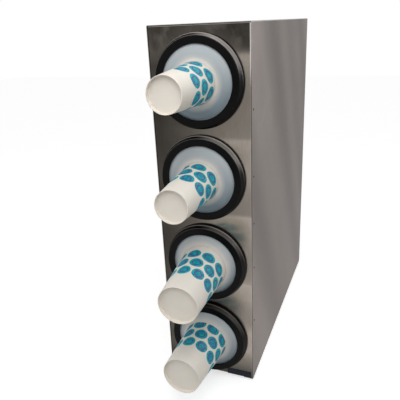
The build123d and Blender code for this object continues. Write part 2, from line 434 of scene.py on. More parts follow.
def brushed_grain():
    """Long fine scratches along the sheet's own direction, and slow bands across them."""
    tree, given, result = new_group(
        "brushed_grain",
        {"Stretch": "Vector", "Band Stretch": "Vector", "Tilt": "Float"},
        {"Scratch": "Float", "Band": "Float"},
    )
    point = object_point(tree)
    tilt = {"Vector": point, "Angle": given["Tilt"]}
    tilted = join(tree, "ShaderNodeVectorRotate", tilt, rotation_type="X_AXIS").outputs["Vector"]
    for start, stretch, detail, target in (
        (point, "Stretch", 2.0, "Scratch"),
        (tilted, "Band Stretch", 0.0, "Band"),
    ):
        stretched = join(tree, "ShaderNodeVectorMath", {0: start, 1: given[stretch]}, operation="MULTIPLY")
        tree.links.new(noise(tree, stretched.outputs[0], 1.0, detail), result[target])
    return tree


def bent_edges():
    """Where a sheet bends towards a side: 1 in the middle of the bend, and 0 on the flats beside it."""
    sides = {"Right": ("X", 1.0), "Back": ("Y", 1.0), "Top": ("Z", 1.0), "Bottom": ("Z", -1.0)}
    tree, _, result = new_group("bent_edges", {}, dict.fromkeys(sides, "Float"))
    towards = facing(tree)
    for side, (axis, sign) in sides.items():
        turned_to = times(tree, towards[axis], sign)
        started = spread(tree, turned_to, 0.08, 0.4)
        finished = spread(tree, turned_to, 0.8, 0.99, 1.0, 0.0)
        tree.links.new(times(tree, started, finished), result[side])
    return tree


def soft_smudges():
    """Broad, soft marks from wiping and handling."""
    tree, given, result = new_group(
        "soft_smudges", {"Scale": "Float", "Contrast": "Float"}, {"Smudge": "Float"}
    )
    cloud = noise(tree, object_point(tree), given["Scale"], 4.0, distortion=0.8)
    scaled = times(tree, minus(tree, cloud, 0.5), given["Contrast"])
    tree.links.new(plus(tree, scaled, 0.5, clamp=True), result["Smudge"])
    return tree


def moulded_texture():
    """The fine, even pebble of a moulded or pressed surface."""
    tree, given, result = new_group("moulded_texture", {"Scale": "Float"}, {"Height": "Float"})
    tree.links.new(noise(tree, object_point(tree), given["Scale"], 2.0), result["Height"])
    return tree


def printed_dots():
    """Rows of dots on a turned piece: every other row is set off by half a step, and edges are frayed."""
    tree, given, result = new_group(
        "printed_dots",
        {"Around": "Float", "Row Pitch": "Float", "First Row": "Float", "Step Width": "Float"},
        {"Distance": "Float", "Tint": "Float"},
    )
    point = outline_point(tree)
    rows = arithmetic(tree, "DIVIDE", minus(tree, point["Y"], given["First Row"]), given["Row Pitch"])
    row = arithmetic(tree, "FLOOR", rows)
    half_step = times(tree, arithmetic(tree, "PINGPONG", row, 1.0), 0.5)
    steps = plus(tree, times(tree, point["X"], given["Around"]), half_step)
    across = times(tree, minus(tree, arithmetic(tree, "FRACT", steps), 0.5), given["Step Width"])
    along = times(tree, minus(tree, minus(tree, rows, row), 0.5), given["Row Pitch"])
    place = join(tree, "ShaderNodeCombineXYZ", {"X": across, "Y": along})
    distance = join(tree, "ShaderNodeVectorMath", {0: place.outputs[0]}, operation="LENGTH").outputs["Value"]
    wobble = minus(tree, noise(tree, object_point(tree), 260.0, 3.0), 0.5)
    tree.links.new(plus(tree, distance, times(tree, wobble, 0.0016)), result["Distance"])
    cell = join(tree, "ShaderNodeCombineXYZ", {"X": arithmetic(tree, "FLOOR", steps), "Y": row})
    chance = join(tree, "ShaderNodeTexWhiteNoise", {"Vector": cell.outputs[0]}, noise_dimensions="2D")
    tree.links.new(chance.outputs["Value"], result["Tint"])
    return tree


groups = {
    tree.name: tree
    for tree in (brushed_grain(), bent_edges(), soft_smudges(), moulded_texture(), printed_dots())
}


def socket_names(values):
    """The same values, under the names that sockets go by."""
    return {key.replace("_", " ").title().replace("Ior", "IOR"): value for key, value in values.items()}


def effect(tree, name, **inputs):
    """A shared effect's outputs, with this finish's own values."""
    return join(tree, "ShaderNodeGroup", socket_names(inputs), node_tree=groups[name]).outputs


def smudges(tree, scale, contrast):
    return effect(tree, "soft_smudges", scale=scale, contrast=contrast)["Smudge"]


def pebble_bump(tree, shader, scale, strength, distance):
    """Raises the surface by a fine pebble."""
    bump(tree, shader, effect(tree, "moulded_texture", scale=scale)["Height"], strength, distance)


def bump(tree, shader, height, strength, distance):
    """Raises the surface by a height in metres."""
    node = join(tree, "ShaderNodeBump", {"Height": height, "Strength": strength, "Distance": distance})
    tree.links.new(node.outputs["Normal"], shader["Normal"])


# Finishes


def new_finish(name, **constants):
    """A material with one surface shader, whose constant values are set on its own sockets."""
    material = bpy.data.materials.new(name)
    material.use_nodes = True
    tree = material.node_tree
    shader = tree.nodes["Principled BSDF"].inputs
    for socket_name, value in socket_names(constants).items():
        shader[socket_name].default_value = value
    return material, tree, shader


def grey(level, warm=0.0):
    """A linear colour near grey, warmer or cooler."""
    return (level * (1 + warm), level, level * (1 - warm), 1)


def brushed_steel(
    name, dark, light, stretch, band_stretch, roughness, shade,
    tilt=0.0, band=0.12, marks=1.0, edges=None, **constants,
):
    """Stainless sheet: its tone runs between two greys by the given shade, with bands and scratches."""
    material, tree, shader = new_finish(name, metallic=1.0, **constants)
    level_across = join(tree, "ShaderNodeTangent", direction_type="RADIAL", axis="Z")
    tree.links.new(level_across.outputs["Tangent"], shader["Tangent"])
    grain = effect(tree, "brushed_grain", stretch=stretch, band_stretch=band_stretch, tilt=tilt)
    smudge = smudges(tree, 9.0, 1.3)
    level = plus(tree, shade(tree), spread(tree, grain["Band"], 0.3, 0.7, -band, band), clamp=True)
    marked = spread(tree, smudge, 0.2, 0.8, -0.05 * marks, 0.05 * marks)
    tone = blend_colours(tree, plus(tree, level, marked, clamp=True), dark, light)
    if edges:
        tone = edges(tree, tone)
    scratched = spread(tree, grain["Scratch"], 0.3, 0.7, 0.88, 1.1)
    tone = join(tree, "ShaderNodeVectorMath", {0: tone, "Scale": scratched}, operation="SCALE").outputs[0]
    tree.links.new(tone, shader["Base Color"])
    dulled = spread(tree, smudge, 0.2, 0.8, -0.04 * marks, 0.06 * marks)
    tree.links.new(plus(tree, dulled, roughness), shader["Roughness"])
    bump(tree, shader, grain["Scratch"], 0.25, 0.00004)
    return material


def front_painted_highlights(tree, tone):
    """A painted highlight on the rounded right-hand edge, strongest near the head, and a weaker one on the
    top edge.
    """
    bends = effect(tree, "bent_edges")
    by_the_head = spread(tree, split(tree, object_point(tree))["Z"], 0.66, 0.71, 0.1, 1.0)
    painted_highlight = larger(tree, times(tree, bends["Right"], by_the_head), times(tree, bends["Top"], 0.3))
    # The pale colour is the painted highlight
    return blend_colours(tree, painted_highlight, tone, (0.85, 0.83, 0.8, 1))


def wrap_painted_light(tree, tone):
    """Painted shade darkens the rear and bottom bends and the cut edge in its seam; painted highlights
    lighten the top bend and the right-hand cut edge near the head.
    """
    bends = effect(tree, "bent_edges")
    point = split(tree, object_point(tree))
    cut_edge = spread(tree, facing(tree)["Y"], -0.8, -0.3, 0.4, 0.0)
    to_the_right = spread(tree, point["X"], -0.1, 0.1, 0.1, 1.0)
    painted_highlight = times(tree, to_the_right, spread(tree, point["Z"], 0.66, 0.71))
    # Painted shade in the seam along the cut edge, away from its painted highlight
    seam_shade = times(tree, cut_edge, minus(tree, 1.0, painted_highlight))
    # Painted shade on the rear and bottom bends and in the seam, and painted highlights on the top bend and
    # the cut edge
    dark = larger(tree, times(tree, larger(tree, bends["Back"], bends["Bottom"]), 0.85), seam_shade)
    pale = larger(tree, times(tree, bends["Top"], 0.5), times(tree, cut_edge, painted_highlight))
    tone = blend_colours(tree, pale, tone, (0.5, 0.49, 0.47, 1))
    return blend_colours(tree, dark, tone, (0.03, 0.03, 0.03, 1))


# Front, painted reflections: height at which the topmost pale painted reflection begins, and the way down to
# the next
reflection_top = 0.716
reflection_pitch = 0.1575
# Soft painted reflections down its right-hand side: height of the middle, reach and gain in tone
front_reflection_clouds = (
    (0.655, 0.04, -0.09),
    (0.5, 0.17, 0.2),
    (0.385, 0.03, 0.35),
    (0.235, 0.035, 0.3),
    (0.2, 0.05, -0.05),
    (0.115, 0.045, 0.5),
    (0.06, 0.035, -0.35),
)


def front_painted_reflections(tree):
    """Painted reflections: dark at the head and the left; on the right, pale painted reflections that fade
    downward, and soft cloudy ones.
    """
    point = split(tree, object_point(tree))
    height = point["Z"]
    # Pale painted reflections that fade downward beside each ring
    below = arithmetic(tree, "DIVIDE", minus(tree, reflection_top, height), reflection_pitch)
    below = arithmetic(tree, "FRACT", below)
    fading = spread(tree, below, 0.0, 0.6, 1.0, 0.0, smooth=True)
    starting = spread(tree, below, 0.93, 1.0, smooth=True)
    painted_reflection = times(tree, larger(tree, fading, starting), 0.42)
    for middle, reach, gain in front_reflection_clouds:
        off_middle = distance_from(tree, middle, height)
        painted_reflection = plus(tree, painted_reflection, spread(tree, off_middle, 0.0, reach, gain, 0.0, smooth=True))
    # Painted reflection, lighter towards the right and most of all by the right-hand edge
    rightward = spread(tree, point["X"], -0.09, 0.095, 0.03, 0.5)
    by_the_edge = spread(tree, point["X"], -0.02, 0.085, smooth=True)
    total = arithmetic(tree, "MULTIPLY_ADD", painted_reflection, by_the_edge, rightward)
    total = plus(tree, total, spread(tree, height, 0.1, 0.5, 0.12, 0.0, smooth=True))
    # Painted reflections, dark at the head and near the foot
    below_head = spread(tree, height, 0.712, 0.735, 1.0, 0.12, smooth=True)
    above_foot = spread(tree, height, 0.02, 0.075, 0.25, 1.0, smooth=True)
    total = times(tree, times(tree, total, below_head), above_foot)
    # A mottled dark painted reflection at the head
    mottled_reflection = spread(tree, smudges(tree, 26.0, 3.0), 0.3, 0.9, 0.0, 0.16)
    return plus(tree, total, times(tree, mottled_reflection, spread(tree, height, 0.70, 0.74)))


def even_shade(level):
    """Nearly one tone all over, a little darker towards the top."""

    def shade(tree):
        return spread(tree, split(tree, object_point(tree))["Z"], 0.0, 0.8, level + 0.1, level - 0.05)

    return shade


def moulded(name, colour, second_colour, roughness, pebble, pebble_height, edges=None, **constants):
    """Moulded plastic or rubber: two close tones, a fine pebble and handled patches."""
    material, tree, shader = new_finish(name, **constants)
    smudge = smudges(tree, 30.0, 1.5)
    tone = blend_colours(tree, smudge, colour, second_colour)
    if edges:
        tone = edges(tree, tone)
    tree.links.new(tone, shader["Base Color"])
    tree.links.new(spread(tree, smudge, 0.2, 0.8, roughness - 0.05, roughness + 0.07), shader["Roughness"])
    pebble_bump(tree, shader, pebble, 0.4, pebble_height)
    return material


# A ring's shoulder, as ways along its outline: middle, half breadth and strength of the painted highlight on
# each turned edge
shoulder_edges = ((0.0120, 0.0019, 1.0), (0.0209, 0.0007, 0.7))
slope_middle = 0.0162
# Colour of the painted highlights on a ring's shoulder
highlight_grey = (0.34, 0.31, 0.29, 1)


def ring_painted_highlights(tree, tone):
    """Painted highlights on a ring's shoulder: along its two turned edges on top, and on its slope at the
    upper right.
    """
    along = outline_point(tree)["Y"]
    towards = facing(tree)
    height = split(tree, object_point(tree))["Z"]
    # Painted highlights are strongest on the upper rings and on upward-facing parts
    handled = spread(tree, height, 0.12, 0.55, 0.15, 1.0)
    top_highlight = times(tree, spread(tree, towards["Z"], -0.1, 0.9), handled)
    for middle, half_breadth, highlight_strength in shoulder_edges:
        off_edge = distance_from(tree, middle, along)
        share = spread(tree, off_edge, half_breadth * 0.4, half_breadth, highlight_strength, 0.0)
        tone = blend_colours(tree, times(tree, share, top_highlight), tone, highlight_grey)
    # A painted highlight on the slope at the upper right
    slope = spread(tree, distance_from(tree, slope_middle, along), 0.0035, 0.005, 0.6, 0.0)
    to_upper_right = arithmetic(tree, "MULTIPLY_ADD", towards["X"], 0.75, towards["Z"])
    painted_reflection = times(tree, slope, spread(tree, to_upper_right, 0.82, 1.1, smooth=True))
    painted_reflection = times(tree, painted_reflection, spread(tree, height, 0.3, 0.7, 0.2, 1.0))
    return blend_colours(tree, painted_reflection, tone, highlight_grey)


def silicone():
    """Translucent silicone: a painted cream glow where the cup shows through by the lip, blue-grey further
    out, and painted shade on its downward-facing side.
    """
    material, tree, shader = new_finish("silicone", roughness=0.4, subsurface_weight=0.15, ior=1.41)
    shader["Subsurface Radius"].default_value = (0.004, 0.004, 0.005)
    from_lip = join(tree, "ShaderNodeAttribute", attribute_name="from_lip").outputs["Fac"]
    upward = split(tree, join(tree, "ShaderNodeNewGeometry").outputs["Normal"])["Z"]
    # Painted shade, darker where the skin faces down
    painted_top_light = spread(tree, upward, -0.35, 0.3, smooth=True)
    body = blend_colours(tree, painted_top_light, (0.17, 0.22, 0.25, 1), (0.385, 0.415, 0.43, 1))
    # A painted cream glow, for light from the cup through the skin by the lip
    painted_cup_glow = spread(tree, from_lip, 0.0, 0.6, 1.0, 0.0, smooth=True)
    tone = blend_colours(tree, painted_cup_glow, body, (0.6, 0.565, 0.52, 1))
    marked = spread(tree, smudges(tree, 40.0, 1.2), 0.3, 0.7, 0.0, 0.12)
    tree.links.new(blend_colours(tree, marked, tone, (0.3, 0.35, 0.4, 1)), shader["Base Color"])
    pebble_bump(tree, shader, 700.0, 0.3, 0.00003)
    return material


# Print on the cups: its rows, then the edge of a disc, and the ring in it with its own edge
print_rows = 3
disc_edge = (0.0138, 0.0143)
disc_ring_radius = 0.0078
disc_ring_edge = (0.0009, 0.0014)


def printed_paper(name, around, print_start, row_pitch, print_radius):
    """Waxed paper, plain near the base and the rim, with staggered rows of teal discs ringed in violet."""
    material, tree, shader = new_finish(name, roughness=0.5, specular_ior_level=0.15)
    paper = blend_colours(tree, smudges(tree, 25.0, 1.4), (0.78, 0.73, 0.655, 1), (0.72, 0.68, 0.615, 1))
    step_width = 2 * pi * print_radius / around
    rows = {"row_pitch": row_pitch, "first_row": print_start}
    motif = effect(tree, "printed_dots", around=around, step_width=step_width, **rows)
    along = outline_point(tree)["Y"]
    started = arithmetic(tree, "GREATER_THAN", along, print_start)
    unfinished = arithmetic(tree, "LESS_THAN", along, print_start + print_rows * row_pitch)
    deep = blend_colours(tree, motif["Tint"], (0.0, 0.3, 0.36, 1), (0.0, 0.19, 0.3, 1))
    blots = spread(tree, smudges(tree, 170.0, 2.0), 0.35, 0.75, 0.0, 0.8)
    ink = blend_colours(tree, blots, deep, (0.0, 0.48, 0.48, 1))
    ring = spread(tree, distance_from(tree, disc_ring_radius, motif["Distance"]), *disc_ring_edge, 1.0, 0.0)
    ink = blend_colours(tree, ring, ink, (0.09, 0.035, 0.24, 1))
    disc = spread(tree, motif["Distance"], *disc_edge, 1.0, 0.0)
    printed = times(tree, disc, times(tree, started, unfinished))
    tree.links.new(blend_colours(tree, printed, paper, ink), shader["Base Color"])
    pebble_bump(tree, shader, 420.0, 0.3, 0.00005)
    return material


# The front's dark and light tones are the ends of its painted reflections
brushed_front = brushed_steel(
    "brushed_steel_front",
    dark=(0.034, 0.03, 0.025, 1),
    light=(0.32, 0.284, 0.246, 1),
    stretch=(2400, 2400, 60),
    band_stretch=(6, 6, 14),
    roughness=0.17,
    shade=front_painted_reflections,
    band=0.08,
    edges=front_painted_highlights,
    anisotropic=0.93,
)
brushed_wrap = brushed_steel(
    "brushed_steel_wrap",
    dark=(0.22, 0.198, 0.191, 1),
    light=(0.372, 0.333, 0.312, 1),
    stretch=(2400, 2400, 60),
    band_stretch=(1, 7, 0.5),
    roughness=0.34,
    shade=even_shade(0.5),
    tilt=radians(-28),
    band=0.34,
    marks=0.4,
    edges=wrap_painted_light,
    specular_tint=(0.4, 0.4, 0.4, 1),
)
brushed_plain = brushed_steel(
    "brushed_steel_plain",
    dark=(0.2, 0.181, 0.173, 1),
    light=(0.33, 0.298, 0.28, 1),
    stretch=(60, 2400, 2400),
    band_stretch=(4, 4, 4),
    roughness=0.38,
    shade=even_shade(0.4),
)
rivet_steel, zinc, spring_wire = (
    brushed_steel(name, dark, light, (grain,) * 3, (band,) * 3, roughness, even_shade(0.5))
    for name, dark, light, grain, band, roughness in (
        ("rivet_steel", grey(0.02, 0.1), grey(0.05, 0.1), 500, 60, 0.6),
        ("zinc_plate", grey(0.28, -0.02), grey(0.45), 300, 30, 0.3),
        ("spring_wire", grey(0.16), grey(0.32), 500, 40, 0.28),
    )
)
# Two colours, roughness, scale and height of the pebble, painted highlights on edges, and gloss
black_trim, tube_plastic, plate_finish, foot_rubber = (
    moulded(name, colour, second, roughness, pebble, height, edges, specular_ior_level=gloss)
    for name, colour, second, roughness, pebble, height, edges, gloss in (
        (
            "black_trim", (0.0015, 0.0015, 0.002, 1), (0.003, 0.0026, 0.0023, 1),
            0.3, 1200, 2e-6, ring_painted_highlights, 0.08,
        ),
        ("tube_plastic", (0.03, 0.03, 0.033, 1), (0.045, 0.045, 0.05, 1), 0.45, 700, 3e-5, None, 0.4),
        ("plate_finish", (0.004, 0.006, 0.013, 1), (0.008, 0.01, 0.02, 1), 0.35, 900, 2e-5, None, 0.15),
        ("foot_rubber", grey(0.015), grey(0.03), 0.75, 500, 6e-5, None, 0.3),
    )
)
gasket_silicone = silicone()
medium_paper = printed_paper("medium_cup_paper", 7, 0.046, 0.0287, 0.036)
large_paper = printed_paper("large_cup_paper", 9, 0.044, 0.030, 0.045)


def dress(piece, material):
    """Gives the piece that finish alone."""
    piece.data.materials.clear()
    piece.data.materials.append(material)


def take_place(piece, node, material):
    """The piece stands for that node: it takes the finish, rides on the node's body, and the node is hidden.
    """
    dress(piece, material)
    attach(piece, body_of[node])
    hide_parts(node)


# Cabinet


def bend_points(centre, start, end):
    """Points of a quarter turn about a centre, between two angles in degrees."""
    across, up = centre
    for step in range(bend_steps + 1):
        turn = radians(start + (end - start) * step / bend_steps)
        yield (across + bend_radius * cos(turn), up + bend_radius * sin(turn)), centre


def bridge(shell, row, following):
    """Faces between two rows of points."""
    for at in range(len(row) - 1):
        shell.faces.new((row[at], row[at + 1], following[at + 1], following[at]))


def thicken(piece):
    """Gives a bent skin the sheet's thickness, inward."""
    wall = piece.modifiers.new("sheet", "SOLIDIFY")
    wall.thickness = sheet * mm
    wall.offset = -1
    flatten(piece)
    return piece


def wrap_sheet():
    """Top and both sides in one bent sheet, with its rear and bottom edges turned in."""
    inset = half_width - bend_radius
    window = half_width - wrap_return
    back_low = base_z + corner_notch
    # Each point of the section goes with the point that the rear bend turns it towards.
    section = [((window, base_z), None)]
    section += [(point, None) for point, _ in bend_points((inset, base_z + bend_radius), -90, 0)]
    section.append(((half_width, back_low), (inset, back_low)))
    section += list(bend_points((inset, top_z - bend_radius), 0, 90))
    section += [((-x, z), towards and (-towards[0], towards[1])) for (x, z), towards in reversed(section)]
    shell = bmesh.new()
    ends = (front_y, back_y - corner_notch)
    rows = [[shell.verts.new((x, y, z)) for (x, z), _ in section] for y in ends]
    bridge(shell, *rows)
    turned_in = [at for at, (_, towards) in enumerate(section) if towards]
    row = [rows[1][at] for at in turned_in]
    for step in range(bend_steps + 1):
        turn = pi / 2 * step / bend_steps
        y = back_y - bend_radius * (1 - sin(turn))
        following = []
        for at in turned_in:
            (x, z), (x_in, z_in) = section[at]
            spot = (x_in + (x - x_in) * cos(turn), y, z_in + (z - z_in) * cos(turn))
            following.append(shell.verts.new(spot))
        bridge(shell, row, following)
        row = following
    inner = []
    for (x, _), (_, z_in) in (section[at] for at in turned_in):
        height = back_low if z_in == back_low else top_z - wrap_return
        inner.append(shell.verts.new((window if x > 0 else -window, back_y, height)))
    bridge(shell, row, inner)
    bmesh.ops.remove_doubles(shell, verts=shell.verts, dist=0.001)
    bmesh.ops.recalc_face_normals(shell, faces=shell.faces)
    top_face = max(shell.faces, key=lambda face: face.calc_center_median().z)
    if top_face.normal.z < 0:
        bmesh.ops.reverse_faces(shell, faces=shell.faces)
    return thicken(make_object("wrap_sheet", shell, outward=False))


def front_sheet():
    """Front sheet with all its edges turned back, and a hole for each tube."""
    rear_y = front_y + front_return
    shell = block((-front_half_width, front_y, front_low), (front_half_width, rear_y, front_high))
    rear = [face for face in shell.faces if face.calc_center_median().y > rear_y - 1]
    bmesh.ops.delete(shell, geom=rear, context="FACES")
    bmesh.ops.recalc_face_normals(shell, faces=shell.faces)
    sides = [(0, -front_half_width), (0, front_half_width)]
    ends = [(2, front_low), (2, front_high)]
    bends = [(side, end) for side in sides for end in ends] + [(edge, (1, front_y)) for edge in sides + ends]
    shared = [edge for edge in sheet_edges(shell, bends) if len(edge.link_faces) == 2]
    ease(shell, shared, bend_radius, bend_steps)
    piece = thicken(make_object("front_sheet", shell, outward=False))
    holes = bmesh.new()
    through = 10
    for bay in range(bay_count):
        hole = turned([(0, -through), (hole_radius, -through), (hole_radius, through), (0, through)])
        bmesh.ops.transform(hole, matrix=bay_place(bay), verts=hole.verts)
        spare = bpy.data.meshes.new("hole")
        hole.to_mesh(spare)
        hole.free()
        holes.from_mesh(spare)
        bpy.data.meshes.remove(spare)
    cut(piece, make_object("holes", holes))
    return piece


def label_plate():
    """Blank plate with softened corners."""
    low, high = (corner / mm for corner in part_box("label_plate"))
    shell = block(low, high)
    corners = [((0, x), (2, z)) for x in (low.x, high.x) for z in (low.z, high.z)]
    ease(shell, sheet_edges(shell, corners), 1.6, 5)
    front = [edge for edge in shell.edges if all(abs(vert.co.y - low.y) < 0.01 for vert in edge.verts)]
    ease(shell, front, 0.25, 2)
    return make_object("blank_plate", shell)


take_place(settle(wrap_sheet()), "cabinet_wrap", brushed_wrap)
take_place(settle(front_sheet()), "front_panel", brushed_front)
for node, material in (
    ("base_panel", brushed_plain),
    ("back_panel", brushed_plain),
    ("tube_rest_bars", zinc),
    ("tube_clips", zinc),
):
    dress(frame["nodes"][node], material)
take_place(settle(label_plate()), "label_plate", plate_finish)


# Rivets, screws and feet


def foot_pad():
    """Square rubber pad below the origin, narrower at the floor, with rounded corners."""
    shell = block((-foot_half, -foot_half, -base_z), (foot_half, foot_half, 0))
    narrowing = foot_half_at_floor / foot_half
    for vert in shell.verts:
        if vert.co.z < -1:
            vert.co = (vert.co.x * narrowing, vert.co.y * narrowing, vert.co.z)
    upright = [edge for edge in shell.edges if abs(edge.verts[0].co.z - edge.verts[1].co.z) > 1]
    ease(shell, upright, 2.0, 4)
    at_floor = [edge for edge in shell.edges if all(vert.co.z < 0.1 - base_z for vert in edge.verts)]
    ease(shell, at_floor, 0.7, 3)
    pad = settle(make_object("foot_pattern", shell))
    bpy.context.scene.collection.objects.unlink(pad)
    return pad


def pattern(name, shell, smooth=True):
    """A head that is copied to its places and not shown itself."""
    bmesh.ops.recalc_face_normals(shell, faces=shell.faces)
    mesh = bpy.data.meshes.new(name)
    shell.to_mesh(mesh)
    shell.free()
    for face in mesh.polygons:
        face.use_smooth = smooth
    if smooth:
        mesh.set_sharp_from_angle(angle=radians(40))
    return bpy.data.objects.new(name, mesh)


def rivet_head():
    """Low domed head, one unit in radius and one high."""
    brim = 0.12
    turns = [pi / 2 * step / 6 for step in range(1, 6)]
    dome = [(cos(turn), brim + (1 - brim) * sin(turn)) for turn in turns]
    return pattern("rivet_pattern", turned([(0, 0), (1, 0), (1, brim), *dome, (0, 1)], sides=24))


def hexagon_head():
    """Hexagon head with an eased crown, one unit from its axis to its corners and one high."""
    shell = turned([(0, 0), (1, 0), (1, 0.8), (0.9, 1), (0, 1)], sides=6)
    return pattern("screw_pattern", shell, smooth=False)


def finish_with(tree, geometry, material, result):
    """Ends a geometry tree: copies become plain faces, which take their finish."""
    real = join(tree, "GeometryNodeRealizeInstances", {"Geometry": geometry}).outputs["Geometry"]
    finished = join(tree, "GeometryNodeSetMaterial", {"Geometry": real, "Material": material})
    tree.links.new(finished.outputs["Geometry"], result)


def set_heads_tree():
    """Puts a copy of one head at each point, turned to face outward."""
    inputs = {"Places": "Geometry", "Head": "Object", "Head Radius": "Float", "Head Height": "Float"}
    inputs["Finish"] = "Material"
    tree, given, result = new_group("set_heads", inputs, {"Heads": "Geometry"}, "GeometryNodeTree")
    head = join(tree, "GeometryNodeObjectInfo", {"Object": given["Head"]})
    side = join(tree, "GeometryNodeInputNamedAttribute", {"Name": "outward"}, data_type="FLOAT_VECTOR")
    turn = join(tree, "FunctionNodeAlignRotationToVector", {"Vector": side.outputs["Attribute"]}, axis="Z")
    radius = given["Head Radius"]
    size = join(tree, "ShaderNodeCombineXYZ", {"X": radius, "Y": radius, "Z": given["Head Height"]})
    copies = join(
        tree,
        "GeometryNodeInstanceOnPoints",
        {
            "Points": given["Places"],
            "Instance": head.outputs["Geometry"],
            "Rotation": turn.outputs["Rotation"],
            "Scale": size.outputs[0],
        },
    )
    finish_with(tree, copies.outputs["Instances"], given["Finish"], result["Heads"])
    return tree


set_heads = set_heads_tree()


def grown(mesh, tree, values):
    """What a geometry tree makes of the mesh, as an object with one plain mesh."""
    piece = shown(mesh)
    modifier = piece.modifiers.new("make", "NODES")
    modifier.node_group = tree
    for item in tree.interface.items_tree:
        if item.name in values:
            modifier[item.identifier] = values[item.name]
    flatten(piece)
    return piece


def heads(name, node, x, spots, outward, head, size, material):
    """A head at each spot, given as Y and Z, on both sides; outward is the way it faces on the right."""
    places = [(side, y, z) for side in (-1, 1) for y, z in spots]
    mesh = bpy.data.meshes.new(name)
    mesh.from_pydata([Vector((side * x, y, z)) * mm for side, y, z in places], [], [])
    facings = mesh.attributes.new("outward", "FLOAT_VECTOR", "POINT")
    for at, (side, _, _) in enumerate(places):
        facings.data[at].vector = (side * outward[0], *outward[1:])
    radius, height = size
    values = {"Head": head, "Head Radius": radius * mm, "Head Height": height * mm, "Finish": material}
    take_place(grown(mesh, set_heads, values), node, material)


spots = [(rivet_y, z) for z in rivet_heights]
heads("rivet_heads", "side_rivets", half_width, spots, (1, 0, 0), rivet_head(), rivet_size, rivet_steel)
screw = hexagon_head()
spots = [(back_y, z) for z in back_screw_heights]
heads("rear_screw_heads", "back_screws", screw_x, spots, (0, 1, 0), screw, screw_size, zinc)
spots = [(y, base_z) for y in base_screw_depths]
heads("under_screw_heads", "base_screws", screw_x, spots, (0, 0, -1), screw, screw_size, zinc)
spots = [(y, base_z) for y in foot_depths]
heads("rubber_feet", "foot_pads", foot_x, spots, (0, 0, 1), foot_pad(), (1 / mm, 1 / mm), foot_rubber)


# Pieces of one bay


def bay_piece(name, bay, shell, material, place=Matrix.Identity(4), kind="turned", sharp_angle=38):
    """The shell as a piece of one bay that stands for the node of that name."""
    piece = settle(make_object(f"{name}_{bay + 1}_{kind}", shell, bay_place(bay) @ place), sharp_angle)
    take_place(piece, f"{name}_{bay + 1}", material)


def shoulder(start, end, bulge, steps=8):
    """Points of a slightly crowned slope between two points of an outline."""
    low, high = Vector(start), Vector(end)
    across = Vector((high.y - low.y, low.x - high.x)).normalized()
    shares = [step / steps for step in range(steps + 1)]
    return [tuple(low.lerp(high, share) + across * bulge * sin(pi * share)) for share in shares]


def trim_ring(bay):
    """Ring with a round shoulder, a sunk step, and bayonet lugs inside its wall."""
    outline = [
        (ring_recess_radius, ring_back),
        (ring_radius, ring_back),
        *shoulder(shoulder_foot, shoulder_head, 0.08),
        (ring_face_radius, shoulder_head[1]),
        (ring_face_radius, ring_face_front),
        (ring_opening_radius, ring_opening_front),
        (ring_opening_radius, ring_seat),
        (ring_recess_radius, ring_seat),
    ]
    shell = turned(rounded(outline, 0.5))
    sectors(shell, (lug_inner_radius, lug_outer_radius), (lug_back, lug_front), lug_angle)
    bay_piece("trim_ring", bay, shell, black_trim)


def tube_collar(bay):
    """Collar at the tube's mouth: a channel for the lugs, and slots that let them in."""
    outline = [
        (bore_radius, 0),
        (flange_radius, 0),
        (flange_radius, channel_back),
        (channel_radius, channel_back),
        (channel_radius, channel_front),
        (flange_radius, channel_front),
        (flange_radius, flange_height),
        (mouth_radius, flange_height),
    ]
    piece = make_object(f"tube_collar_{bay + 1}_turned", turned(rounded(outline, 0.4)), bay_place(bay))
    radii = (channel_radius - 0.3, flange_radius + 2)
    slots = sectors(bmesh.new(), radii, (slot_back, flange_height + 2), slot_angle, turn_to_slot)
    cut(piece, make_object("slots", slots, bay_place(bay)))
    take_place(settle(piece), f"tube_collar_{bay + 1}", tube_plastic)


def dome_height(radius):
    """Height of the gasket's face at that distance from the bay's axis, soft from root to lip."""
    share = (dome_root_radius - radius) / (dome_root_radius - dome_top_radius)
    fall = (1 - min(max(share, 0), 1)) ** dome_fullness
    return dome_root_height + (dome_top_height - dome_root_height) * (1 - fall)


def lip_edge(bay, direction):
    """Where the dome meets the leaning cup, in that direction from the bay's axis."""
    height, rim_radius, base_radius = cups[bay]
    place = cup_place(bay)
    axis = place.to_3x3() @ Vector((0, 0, 1))
    start = place.translation
    lip_height = 20.0
    for _ in range(4):
        reach = (lip_height - start.z) / axis.z
        centre = (start + axis * reach).to_2d()
        hole = rim_radius - (rim_radius - base_radius) * reach / height + lip_gap
        edge = centre + direction * hole
        lip_height = dome_height(edge.length)
    return edge


